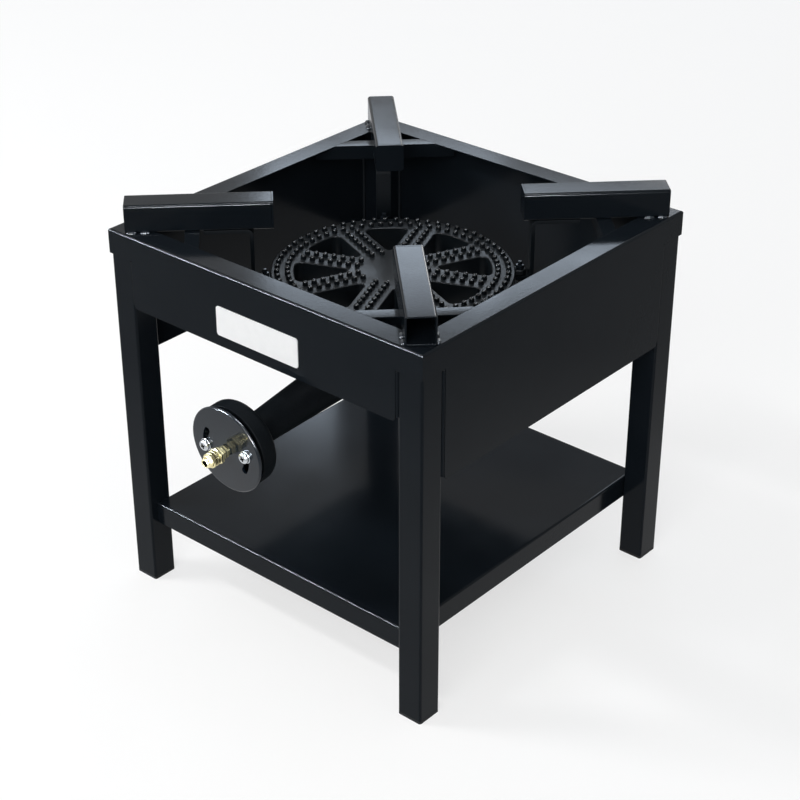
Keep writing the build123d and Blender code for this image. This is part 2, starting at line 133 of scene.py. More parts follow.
# Tack welds: the first drop's place on the diagonal, the step to the next drop and the gap to the next tack
TACK_OUT, TACK_SIDE, TACK_LIFT = 255.5, 15.8, 0.6
TACK_STEP, TACK_GAP, TACK_VOXEL = 2.6, 13.5, 0.5
TACK_SWELLS, TACK_FLATNESS = (0.8, 1.0, 0.92), 0.75
# Leg seams: from under the rim's band to above the apron's edge, inside the wall and behind each slit
SEAM_BELOW_RIM, SEAM_ABOVE_EDGE = 28, 4
SEAM_WALL, SEAM_SLIT = 207.6 * MM, 178 * MM
BEAD_RADIUS, BEAD_SIDES, BEAD_RIPPLE, BEAD_WAIST = 2.3, 10, 3, 0.84

# Nodes whose edges are broken, and how much wider the pot supports' drawn corners are
SHEET_NODES = ("apron", "leg", "corner_brace", "pot_support", "shelf", "burner_hanger", "badge")
POT_SUPPORT_EDGE = 1.6

# Lathe profiles on the bell's axis: along, out and the corner's radius, in millimetres
BELL_PROFILE = ((226, 0, 0), (226, 13, 0), (233.5, 13, 2), (233.5, 41, 4), (251, 41, 0.8), (251, 45, 0.8),
                (229.5, 45, 8.5), (229.5, THROAT_RADIUS, 9), (THROAT_REACH, THROAT_RADIUS, 0))
MIDDLE_BOSS_PROFILE = ((237.9, 0, 0), (237.9, 11, 1), (255.9, 11, 0.5), (255.9, 0, 0))
SCREW_BOSS_PROFILE = ((243.5, 0, 0), (243.5, 7.9, 0.5), (255.9, 7.9, 0.5), (255.9, 0, 0))
SHUTTER_PROFILE = ((256, 5.5, 0), (259, 5.5, 0.3), (259, 47, 2), (256, 47, 0.8), (256, 5.5, 0))
WASHER_PROFILE = ((259.1, 3, 0), (259.1, 6.8, 0.2), (260.3, 6.8, 0.5), (260.3, 3, 0), (259.1, 3, 0))
SCREW_PROFILE = ((246, 0, 0), (246, 2.9, 0.5), (260.3, 2.9, 0), (260.3, 6, 0.3), (264.3, 6, 2.6), (264.3, 0, 0))
INLET_PROFILE = ((246, 0, 0), (246, 5.2, 0.4), (268.5, 5.2, 0), (268.5, 7, 0), (273.3, 7, 0), (273.5, 6, 0),
                 (274.7, 6, 0), (274.9, 6.9, 0), (283.4, 6.9, 0.3), (284.6, 6, 0.4), (287.4, 4.9, 0.6),
                 (288, 4.4, 0.3), (288, 3.4, 0.3), (277, 3.4, 0), (277, 0, 0))

# Stage, in metres. The camera is the one that was fitted to the photo.
FLOOR_WIDTH, FLOOR_CUTS = 14, 3
LENS, SENSOR, SIGHT = 84.72, 36.0, 50.0
EYE = (1.160303, -1.343604, 1.218385)
EYE_TURN = (radians(60.358), 0, radians(40.763))
CARD_PLACE, CARD_TURN = (-0.355, 0.638, 0.265), (pi / 2, 0, radians(26.6))
CARD_EXTENT = (0.508, 0.508, 0.53)
# Softboxes: name, place, point aimed at, width and height, watts, tint, and whether mirrors alone see it
SOFTBOXES = (
    ("back_strip_left", (-4.11, 4.63, 3.27), (0, 0, 0.42), (1.06, 0.66), 24.6, "#d6e6f8", False),
    ("back_strip_right", (-1.85, 5.56, 3.34), (0, 0, 0.42), (4.0, 0.42), 52, "#d6e6f8", False),
    ("key_strip", (-1.69, -1.28, 2.13), (-1.69, -0.21, 0.42), (1.25, 0.2), 40, "#ffffff", False),
    ("front_fill", (1.0, -2.3, 1.7), (0, 0, 0.3), (1.6, 1.2), 33, "#ffffff", False),
    # Bright narrow strips that show only as reflections, along bends, tube edges and the ports' tips
    ("bend_strip", (-1.7, -2.28, 0.77), (-1.7, -0.21, 0.42), (1.25, 0.2), 560, "#dde8f6", True),
    ("edge_strip_left", (1.62, -2.05, 0.71), (-0.2, -0.2, 0.45), (0.39, 0.15), 162, "#e6eef8", True),
    ("edge_strip_right", (2.19, -1.48, 0.71), (0.37, 0.37, 0.45), (0.2, 0.15), 83, "#e6eef8", True),
    ("top_strip", (0.35, -0.35, 1.88), (0, 0, 0.45), (0.84, 0.12), 50, "#e6eef8", True),
    ("side_strip", (-1.08, 2.56, 1.18), (0.1, -0.1, 0.45), (0.4, 0.5), 10, "#ffffff", True),
    ("front_strip", (0.95, -2.45, 0.7), (0, -0.26, 0.26), (0.5, 0.4), 90, "#ffffff", True),
)


def linear(colour):
    """Turns an sRGB hex colour into linear red, green, blue and alpha."""
    channels = [int(colour[k:k + 2], 16) / 255 for k in (1, 3, 5)]
    return tuple(c / 12.92 if c <= 0.04045 else ((c + 0.055) / 1.055) ** 2.4 for c in channels) + (1.0,)


def on_tube(across, up, reach=0.0):
    """A point this far across, above and along the bell's axis."""
    return TUBE_START + RIGHT * across + TUBE_UP * up + FORWARD * reach


# Where a line along the shutter's first screw starts
SCREW_START = on_tube(SLOT_RADIUS * cos(SLOT_TILT), SLOT_RADIUS * sin(SLOT_TILT))


def facing_front(turn):
    """Turns a piece so that its +Y runs back along the bell's axis and its +X is turned from the right."""
    along = RIGHT * cos(turn) + TUBE_UP * sin(turn)
    return Matrix((along, -FORWARD, along.cross(-FORWARD))).transposed().to_euler()


def size(name, description, default):
    """Declares a length for the sidebar from a value in millimetres."""
    return FloatProperty(name=name, description=description, default=default * MM, min=0.0, unit="LENGTH")


def colour(name, description, default):
    """Declares a colour for the sidebar from an sRGB hex value."""
    return FloatVectorProperty(name=name, description=description, default=linear(default), size=4,
                               min=0.0, max=1.0, subtype="COLOR")


class StoveSizes(bpy.types.PropertyGroup):
    """Sizes of the modelled pieces."""
    head_depth: size("Wheel Depth", "Depth of the burner wheel", 34)
    ring_width: size("Ring Width", "Width of the wheel's outer ring", 24)
    spoke_width: size("Spoke Width", "Width of each spoke", 30)
    spoke_count: IntProperty(name="Spokes", description="Spokes in the burner wheel", default=8, min=3)
    casting_edge: size("Casting Edge", "Rounding on the castings' edges", 1.4)
    port_radius: size("Port Radius", "Radius at the foot of a gas port", 3.2)
    port_height: size("Port Height", "Height of a gas port", 4.5)
    port_hole: size("Port Hole", "Radius of the hole in a gas port", 0.8)
    ring_ports: IntProperty(name="Ring Ports", description="Gas ports in each ring row", default=64, min=8)
    spoke_ports: IntProperty(name="Spoke Ports", description="Gas ports in each spoke row", default=7, min=1)
    port_pitch: size("Port Pitch", "Distance between ports along a spoke", 10)
    thread_pitch: size("Thread Pitch", "Pitch of the inlet's thread", 1.41)
    weld_width: size("Weld Width", "Width of a weld bead", 6.4)
    sheet_edge: size("Sheet Edge", "Rounding on the frame's sharp edges", 0.4)


class StoveFinishes(bpy.types.PropertyGroup):
    """Colours of the finishes."""
    coat: colour("Powder Coat", "Satin black powder coat on the frame", "#10151a")
    coat_haze: colour("Coat Haze", "Paler patches in the powder coat", "#161b20")
    casting: colour("Casting", "Black paint on the cast burner", "#06090c")
    casting_high: colour("Casting Grain", "Worn grain of the casting", "#11161a")
    enamel: colour("Enamel", "Glossy black on the air shutter", "#121b24")
    zinc: colour("Zinc", "Bright zinc plate on the fasteners", "#c3c5c6")
    zinc_bloom: colour("Zinc Bloom", "Milky crystals in the zinc plate", "#aab0b6")
    brass: colour("Brass", "Machined brass of the inlet", "#e2d8ac")
    brass_dark: colour("Brass Tarnish", "Tarnish in the brass", "#a99a62")
    # Painted shade: zinc and brass are darkened towards this colour where little light reaches, in recesses, the bore
    # and thread roots
    grime: colour("Painted Shade", "Grime in the recesses of screws and inlet", "#2a2926")
    plate: colour("Badge", "White of the bare badge plate", "#f4f4f4")
    plate_film: colour("Badge Film", "Greyer film on the badge plate", "#ececec")
    foot: colour("Feet", "Black moulded feet", "#121314")
    foot_spark: colour("Feet Grain", "Paler grain of the moulded feet", "#1a1b1c")
    gasket: colour("Gasket", "Graphite sheet gasket", "#2b2c2d")
    gasket_flake: colour("Gasket Flake", "Paler flakes in the gasket", "#424445")


def add_node(tree, kind, settings=None, sockets=None, feeds=None):
    """Adds a node, sets its properties, sets or links its sockets, and links its results on to other sockets."""
    node = tree.nodes.new(kind)
    for key, value in (settings or {}).items():
        setattr(node, key, value)
    for key, value in (sockets or {}).items():
        if isinstance(value, bpy.types.NodeSocket):
            tree.links.new(value, node.inputs[key])
        else:
            node.inputs[key].default_value = value
    for key, target in (feeds or {}).items():
        tree.links.new(node.outputs[key], target)
    return node


def new_finish(name, **sockets):
    """Starts a material with one shader, whose constant values are set on its own sockets."""
    material = bpy.data.materials.new(name)
    material.use_nodes = True
    tree = material.node_tree
    tree.nodes.clear()
    shader = add_node(tree, "ShaderNodeBsdfPrincipled", sockets=sockets)
    add_node(tree, "ShaderNodeOutputMaterial", sockets={"Surface": shader.outputs["BSDF"]})
    place = add_node(tree, "ShaderNodeTexCoord").outputs["Object"]
    return material, tree, shader, place


# Noise keeps near its middle, so gloss is spread over this part of it
NOISE_SPAN = {"From Min": 0.3, "From Max": 0.7}


def satin_black_powder_coat(finishes):
    """Powder coat on steel, sprayed dry and baked: satin, with a soft orange peel and faint cloudy patches."""
    material, tree, shader, place = new_finish(
        "satin_black_powder_coat", **{"IOR": 1.5, "Specular IOR Level": 0.06})
    # Patches of film thickness about 70 mm across, in colour and in gloss
    cloud = add_node(tree, "ShaderNodeTexNoise", sockets={"Vector": place, "Scale": 1 / (70 * MM), "Detail": 3.0})
    add_node(tree, "ShaderNodeMix", {"data_type": "RGBA"},
             {"Factor": cloud.outputs["Fac"], "A": finishes.coat, "B": finishes.coat_haze},
             {"Result": shader.inputs["Base Color"]})
    add_node(tree, "ShaderNodeMapRange",
             sockets={"Value": cloud.outputs["Fac"], **NOISE_SPAN, "To Min": 0.105, "To Max": 0.15},
             feeds={"Result": shader.inputs["Roughness"]})
    # Real orange peel is about 1.5 mm wide. It is drawn at 3 mm, so that it shows in the picture.
    peel = add_node(tree, "ShaderNodeTexNoise", sockets={"Vector": place, "Scale": 1 / (3 * MM), "Detail": 1.0})
    add_node(tree, "ShaderNodeBump",
             sockets={"Strength": 0.12, "Distance": 0.2 * MM, "Height": peel.outputs["Fac"]},
             feeds={"Normal": shader.inputs["Normal"]})
    return material


def black_sand_cast_iron(finishes, name="black_sand_cast_iron", shine=0.03, gloss_range=(0.5, 0.62)):
    """Grey iron cast in sand and dipped in black paint: a fine pebbled skin, paler on its high grain."""
    material, tree, shader, place = new_finish(name, **{"IOR": 1.5, "Specular IOR Level": shine})
    # Sand grain about 1.2 mm across
    grain = add_node(tree, "ShaderNodeTexNoise", sockets={"Vector": place, "Scale": 1 / (1.2 * MM), "Detail": 2.0})
    add_node(tree, "ShaderNodeMix", {"data_type": "RGBA"},
             {"Factor": grain.outputs["Fac"], "A": finishes.casting, "B": finishes.casting_high},
             {"Result": shader.inputs["Base Color"]})
    # Paint pools about 25 mm wide
    pool = add_node(tree, "ShaderNodeTexNoise", sockets={"Vector": place, "Scale": 1 / (25 * MM), "Detail": 2.0})
    add_node(tree, "ShaderNodeMapRange",
             sockets={"Value": pool.outputs["Fac"], **NOISE_SPAN,
                      "To Min": gloss_range[0], "To Max": gloss_range[1]},
             feeds={"Result": shader.inputs["Roughness"]})
    add_node(tree, "ShaderNodeBump",
             sockets={"Strength": 0.25, "Distance": 0.25 * MM, "Height": grain.outputs["Fac"]},
             feeds={"Normal": shader.inputs["Normal"]})
    return material


def dressed_black_cast_iron(finishes):
    """The burner wheel's skin, dressed flat before painting: the same grain with more shine."""
    return black_sand_cast_iron(finishes, "dressed_black_cast_iron", 0.12, (0.3, 0.42))


def sooted_black_steel(finishes):
    """The hangers beside the flame, whose paint heat and soot have dulled: a fine, even, lightless grain."""
    return black_sand_cast_iron(finishes, "sooted_black_steel", 0.02, (0.5, 0.62))


def rubbed_black_iron(finishes):
    """The same casting where cleaning has rubbed it: the ports' smooth crowns, which sparkle."""
    material, tree, shader, place = new_finish("rubbed_black_iron", **{"IOR": 1.5, "Specular IOR Level": 0.3})
    # Worn spots about 3 mm wide, half a port
    wear = add_node(tree, "ShaderNodeTexNoise", sockets={"Vector": place, "Scale": 1 / (3 * MM), "Detail": 1.0})
    add_node(tree, "ShaderNodeMix", {"data_type": "RGBA"},
             {"Factor": wear.outputs["Fac"], "A": finishes.casting, "B": finishes.casting_high},
             {"Result": shader.inputs["Base Color"]})
    add_node(tree, "ShaderNodeMapRange",
             sockets={"Value": wear.outputs["Fac"], **NOISE_SPAN, "To Min": 0.13, "To Max": 0.24},
             feeds={"Result": shader.inputs["Roughness"]})
    return material


def gloss_black_enamel(finishes):
    """Sprayed enamel on a pressed disc: a near mirror with slow waves that bend its reflections."""
    material, tree, shader, place = new_finish(
        "gloss_black_enamel", **{"IOR": 1.5, "Base Color": finishes.enamel, "Specular IOR Level": 0.29})
    # Waves of the paint film about 14 mm wide
    wave = add_node(tree, "ShaderNodeTexNoise", sockets={"Vector": place, "Scale": 1 / (14 * MM), "Detail": 1.0})
    add_node(tree, "ShaderNodeMapRange",
             sockets={"Value": wave.outputs["Fac"], **NOISE_SPAN, "To Min": 0.12, "To Max": 0.18},
             feeds={"Result": shader.inputs["Roughness"]})
    add_node(tree, "ShaderNodeBump",
             sockets={"Strength": 0.08, "Distance": 0.2 * MM, "Height": wave.outputs["Fac"]},
             feeds={"Normal": shader.inputs["Normal"]})
    return material


def bright_zinc_plate(finishes):
    """Electroplated zinc on steel fasteners: bright, cool and a little milky, with painted shade in its recesses."""
    material, tree, shader, place = new_finish("bright_zinc_plate", **{"Metallic": 1.0})
    # Crystal bloom about 1.5 mm wide
    bloom = add_node(tree, "ShaderNodeTexNoise", sockets={"Vector": place, "Scale": 1 / (1.5 * MM), "Detail": 2.0})
    tone = add_node(tree, "ShaderNodeMix", {"data_type": "RGBA"},
                    {"Factor": bloom.outputs["Fac"], "A": finishes.zinc, "B": finishes.zinc_bloom})
    # Painted shade: the colour darkens in the cross recess and under the head, where little light reaches
    corner = add_node(tree, "ShaderNodeAmbientOcclusion", {"only_local": True}, {"Distance": 3 * MM})
    unshaded = add_node(tree, "ShaderNodeMapRange",
                     sockets={"Value": corner.outputs["AO"], "From Min": 0.55, "From Max": 0.95})
    add_node(tree, "ShaderNodeMix", {"data_type": "RGBA"},
             {"Factor": unshaded.outputs["Result"], "A": finishes.grime, "B": tone.outputs["Result"]},
             {"Result": shader.inputs["Base Color"]})
    add_node(tree, "ShaderNodeMapRange",
             sockets={"Value": bloom.outputs["Fac"], "To Min": 0.1, "To Max": 0.24},
             feeds={"Result": shader.inputs["Roughness"]})
    return material


def machined_brass(finishes):
    """Free-cutting brass off the lathe: warm and bright, with turning lines across the axis and some tarnish."""
    material, tree, shader, place = new_finish("machined_brass", **{"Metallic": 1.0})
    # Tarnish in spots about 5 mm wide
    stain = add_node(tree, "ShaderNodeTexNoise", sockets={"Vector": place, "Scale": 1 / (5 * MM), "Detail": 3.0})
    share = add_node(tree, "ShaderNodeMapRange",
                     sockets={"Value": stain.outputs["Fac"], "From Min": 0.45, "From Max": 0.75, "To Max": 0.6})
    tone = add_node(tree, "ShaderNodeMix", {"data_type": "RGBA"},
                    {"Factor": share.outputs["Result"], "A": finishes.brass, "B": finishes.brass_dark})
    # Painted shade in the bore and the thread's roots, which see little but the fitting itself
    corner = add_node(tree, "ShaderNodeAmbientOcclusion", {"only_local": True}, {"Distance": 8 * MM})
    unshaded = add_node(tree, "ShaderNodeMapRange",
                     sockets={"Value": corner.outputs["AO"], "From Min": 0.34, "From Max": 0.8})
    add_node(tree, "ShaderNodeMix", {"data_type": "RGBA"},
             {"Factor": unshaded.outputs["Result"], "A": finishes.grime, "B": tone.outputs["Result"]},
             {"Result": shader.inputs["Base Color"]})
    # Turning lines along the lathe's axis. The node's wave turns 20 radians a unit, so that 0.6 mm to the radian
    # sets the lines 3.8 mm apart, far coarser than real ones, to show in the picture.
    lines = add_node(tree, "ShaderNodeTexWave", {"bands_direction": "Y"},
                     {"Vector": place, "Scale": 1 / (0.6 * MM) / 20, "Distortion": 0.4})
    add_node(tree, "ShaderNodeMapRange",
             sockets={"Value": lines.outputs["Fac"], "To Min": 0.2, "To Max": 0.34},
             feeds={"Result": shader.inputs["Roughness"]})
    add_node(tree, "ShaderNodeBump",
             sockets={"Strength": 0.8, "Distance": 0.05 * MM, "Height": lines.outputs["Fac"]},
             feeds={"Normal": shader.inputs["Normal"]})
    return material


def white_vinyl_plate(finishes):
    """White vinyl over a thin plate: smooth, with a slight film texture."""
    material, tree, shader, place = new_finish("white_vinyl_plate", **{"IOR": 1.5})
    # Film ripple about 9 mm wide
    film = add_node(tree, "ShaderNodeTexNoise", sockets={"Vector": place, "Scale": 1 / (9 * MM), "Detail": 2.0})
    add_node(tree, "ShaderNodeMix", {"data_type": "RGBA"},
             {"Factor": film.outputs["Fac"], "A": finishes.plate, "B": finishes.plate_film},
             {"Result": shader.inputs["Base Color"]})
    add_node(tree, "ShaderNodeMapRange",
             sockets={"Value": film.outputs["Fac"], "To Min": 0.3, "To Max": 0.42},
             feeds={"Result": shader.inputs["Roughness"]})
    add_node(tree, "ShaderNodeBump",
             sockets={"Strength": 0.05, "Distance": 0.1 * MM, "Height": film.outputs["Fac"]},
             feeds={"Normal": shader.inputs["Normal"]})
    return material


def moulded_black_polyethylene(finishes):
    """Injection moulded foot plugs: a dull, finely sparked skin."""
    material, tree, shader, place = new_finish(
        "moulded_black_polyethylene", **{"IOR": 1.5, "Specular IOR Level": 0.1})
    # The sparked mould's grain, about 0.8 mm wide
    spark = add_node(tree, "ShaderNodeTexNoise", sockets={"Vector": place, "Scale": 1 / (0.8 * MM), "Detail": 2.0})
    add_node(tree, "ShaderNodeMix", {"data_type": "RGBA"},
             {"Factor": spark.outputs["Fac"], "A": finishes.foot, "B": finishes.foot_spark},
             {"Result": shader.inputs["Base Color"]})
    add_node(tree, "ShaderNodeMapRange",
             sockets={"Value": spark.outputs["Fac"], "To Min": 0.5, "To Max": 0.65},
             feeds={"Result": shader.inputs["Roughness"]})
    add_node(tree, "ShaderNodeBump",
             sockets={"Strength": 0.2, "Distance": 0.1 * MM, "Height": spark.outputs["Fac"]},
             feeds={"Normal": shader.inputs["Normal"]})
    return material


def graphite_sheet(finishes):
    """Pressed graphite sheet: dark grey flakes with a dull shine."""
    material, tree, shader, place = new_finish("graphite_sheet", **{"IOR": 1.6})
    # Flakes about 1.5 mm wide
    flake = add_node(tree, "ShaderNodeTexVoronoi", sockets={"Vector": place, "Scale": 1 / (1.5 * MM)})
    add_node(tree, "ShaderNodeMix", {"data_type": "RGBA"},
             {"Factor": flake.outputs["Distance"], "A": finishes.gasket, "B": finishes.gasket_flake},
             {"Result": shader.inputs["Base Color"]})
    add_node(tree, "ShaderNodeMapRange",
             sockets={"Value": flake.outputs["Distance"], "To Min": 0.45, "To Max": 0.6},
             feeds={"Result": shader.inputs["Roughness"]})
    return material


SLOT_FINISHES = {
    "black_steel": satin_black_powder_coat,
    "cast_iron": black_sand_cast_iron,
    "shutter_steel": gloss_black_enamel,
    "zinc": bright_zinc_plate,
    "brass": machined_brass,
    "badge_white": white_vinyl_plate,
    "black_plastic": moulded_black_polyethylene,
    "gasket": graphite_sheet,
}
# Finishes that some pieces have in place of their slot's
SPECIAL_FINISHES = (sooted_black_steel, dressed_black_cast_iron, rubbed_black_iron)


def dress(piece, finish):
    """Gives a piece the material that a finish function made, which is named as the function."""
    piece.data.materials.clear()
    piece.data.materials.append(bpy.data.materials[finish.__name__])


def deselect():
    """Closes an open piece and leaves nothing selected."""
    if bpy.context.object and bpy.context.object.mode == "EDIT":
        bpy.ops.object.mode_set(mode="OBJECT")
    bpy.ops.object.select_all(action="DESELECT")


def begin(name, add, **settings):
    """Adds a primitive on its own, with nothing else selected, and opens it for editing."""
    deselect()
    add(**settings)
    piece = bpy.context.object
    piece.name = name
    piece.data.name = name
    bpy.ops.object.mode_set(mode="EDIT")
    bpy.ops.mesh.select_mode(type="VERT")
    bpy.ops.mesh.select_all(action="SELECT")
    return piece


def activate(*pieces):
    """Selects these pieces alone and makes the first one active."""
    deselect()
    for piece in pieces:
        piece.select_set(True)
    bpy.context.view_layer.objects.active = pieces[0]


def pick(piece, kind, test):
    """Selects those vertices, edges or faces of the open piece that pass a test."""
    bpy.ops.mesh.select_mode(type=kind)
    bpy.ops.mesh.select_all(action="DESELECT")
    mesh = bmesh.from_edit_mesh(piece.data)
    for item in {"VERT": mesh.verts, "EDGE": mesh.edges, "FACE": mesh.faces}[kind]:
        item.select_set(test(item))
    mesh.select_flush_mode()
    bmesh.update_edit_mesh(piece.data)


def extrude(value):
    """Extrudes the selected faces or edges by a vector."""
    bpy.ops.mesh.extrude_region_move(TRANSFORM_OT_translate={"value": value})


def tidy():
    """Merges the open piece's doubles and turns its faces outwards."""
    bpy.ops.mesh.select_all(action="SELECT")
    bpy.ops.mesh.remove_doubles(threshold=MERGE_GAP * MM)
    bpy.ops.mesh.normals_make_consistent(inside=False)


def cap(piece):
    """Closes a piece's open ends with faces."""
    activate(piece)
    bpy.ops.object.mode_set(mode="EDIT")
    bpy.ops.mesh.select_all(action="DESELECT")
    bpy.ops.mesh.select_mode(type="EDGE")
    bpy.ops.mesh.select_non_manifold()
    bpy.ops.mesh.edge_face_add()
    tidy()
    bpy.ops.object.mode_set(mode="OBJECT")


def modify(piece, kind, **settings):
    """Adds a modifier to a piece and applies it."""
    activate(piece)
    bpy.ops.object.modifier_add(type=kind)
    modifier = piece.modifiers[-1]
    for key, value in settings.items():
        setattr(modifier, key, value)
    bpy.ops.object.modifier_apply(modifier=modifier.name)


def cut(piece, tool, operation="DIFFERENCE"):
    """Combines a piece with a tool piece, which is then deleted."""
    modify(piece, "BOOLEAN", operation=operation, object=tool, solver="EXACT")
    bpy.data.objects.remove(tool)


def soften(piece, width, segments=2):
    """Rounds the piece's sharp edges."""
    modify(piece, "BEVEL", width=width, segments=segments, limit_method="ANGLE", angle_limit=radians(SHARP),
           use_clamp_overlap=True)


def in_row(piece, count, step, **settings):
    """Repeats a piece along a line."""
    modify(piece, "ARRAY", count=count, use_relative_offset=False, use_constant_offset=True,
           constant_offset_displace=step, **settings)


def around(piece, centre, count, axis=UP):
    """Repeats a piece round an axis through a point."""
    activate(piece)
    bpy.context.scene.cursor.location = centre
    bpy.ops.object.origin_set(type="ORIGIN_CURSOR")
    bpy.context.scene.cursor.location = (0, 0, 0)
    bpy.ops.object.empty_add(location=centre, rotation=Matrix.Rotation(2 * pi / count, 3, axis).to_euler())
    turn = bpy.context.object
    modify(piece, "ARRAY", count=count, use_relative_offset=False, use_object_offset=True, offset_object=turn)
    bpy.data.objects.remove(turn)


def join(name, pieces):
    """Makes one piece of several."""
    activate(*pieces)
    bpy.ops.object.join()
    whole = bpy.context.object
    whole.name = name
    return whole


def settle(piece, slot, body=BODY, nodes=(), angle=35, finish=None):
    """Finishes a piece: place into its mesh, smooth shading, finish, body and the nodes that it stands for."""
    activate(piece)
    bpy.ops.object.transform_apply(location=True, rotation=True, scale=True)
    bpy.ops.object.shade_smooth_by_angle(angle=radians(angle))
    # Large faces stay flat beside their rounded edges
    modify(piece, "WEIGHTED_NORMAL", keep_sharp=True)
    dress(piece, finish or SLOT_FINISHES[slot])
    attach(piece, body)
    if nodes:
        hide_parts(*nodes)


def rounded(corners, parts=4):
    """Turns corners of (along, out, radius) into a line whose corners are arcs."""
    points = []
    for k, (along, out, radius) in enumerate(corners):
        here = Vector((along, out))
        if radius == 0 or k in (0, len(corners) - 1):
            points.append(here)
            continue
        back = (Vector(corners[k - 1][:2]) - here).normalized()
        ahead = (Vector(corners[k + 1][:2]) - here).normalized()
        half = acos(max(-1.0, min(1.0, back.dot(ahead)))) / 2
        middle = here + (back + ahead).normalized() * radius / sin(half)
        start = here + back * radius / tan(half) - middle
        end = here + ahead * radius / tan(half) - middle
        sweep = start.angle_signed(end)
        for step in range(parts + 1):
            points.append(middle + Matrix.Rotation(-sweep * step / parts, 2) @ start)
    return points


def draw(name, points):
    """Draws a line of points, vertex by vertex, in a new open piece."""
    piece = begin(name, bpy.ops.mesh.primitive_circle_add, vertices=3, radius=MM, location=(0, 0, 0))
    bpy.ops.mesh.merge(type="CENTER")
    bpy.ops.transform.translate(value=points[0])
    for start, end in zip(points, points[1:]):
        bpy.ops.mesh.extrude_vertices_move(TRANSFORM_OT_translate={"value": end - start})
    return piece


def turned(name, profile, base, axis, steps=64):
    """Turns a profile of (along, out) points once round an axis, as on a lathe."""
    side = axis.orthogonal().normalized()
    piece = draw(name, [base + axis * p[0] + side * p[1] for p in profile])
    bpy.ops.mesh.select_all(action="SELECT")
    bpy.ops.mesh.spin(steps=steps, angle=2 * pi, center=base, axis=axis)
    tidy()
    return piece


def turned_forward(name, corners, steps, base=TUBE_START, parts=4):
    """Turns a profile in millimetres round the bell's axis, or round a line beside it."""
    return turned(name, [p * MM for p in rounded(corners, parts)], base, FORWARD, steps)


def plate(name, outline, thickness):
    """Fills an outline of points and gives it a thickness vector."""
    piece = draw(name, outline)
    bpy.ops.mesh.select_all(action="SELECT")
    bpy.ops.mesh.edge_face_add()
    extrude(thickness)
    tidy()
    return piece


def hexagon(name, place, axis, low, high, flats):
    """A hexagon prism along an axis, with its corners chamfered at both faces."""
    spare = 2 * MM
    piece = begin(name, bpy.ops.mesh.primitive_cylinder_add, vertices=6, radius=flats / sqrt(3),
                  depth=high - low + spare, location=place + axis * (low + high) / 2,
                  rotation=axis.to_track_quat("Z", "Y").to_euler())
    bpy.ops.object.mode_set(mode="OBJECT")
    bpy.ops.object.transform_apply(location=True, rotation=True, scale=True)
    # The barrel just passes the prism's corners, and its faces are a little smaller than the flats
    corner, face, rise = flats / sqrt(3) * 1.03, flats * 0.485, flats * 0.07
    outline = ((low, 0), (low, face), (low + rise, corner), (high - rise, corner), (high, face), (high, 0))
    cut(piece, turned("barrel", [Vector(p) for p in outline], place, axis, steps=48), "INTERSECT")
    return piece


class STOVE_OT_finishes(bpy.types.Operator):
    """Makes the finishes and puts them on every node of the frame"""
    bl_idname = "stove.finishes"
    bl_label = "Finishes"

    def execute(self, context):
        for make in (*SLOT_FINISHES.values(), *SPECIAL_FINISHES):
            make(context.scene.stove_finishes)
        for subpart in frame["record"]["subparts"]:
            hanger = subpart["node"].startswith("burner_hanger")
            dress(frame["nodes"][subpart["node"]],
                  sooted_black_steel if hanger else SLOT_FINISHES[subpart["material_slot"]])
        return {"FINISHED"}


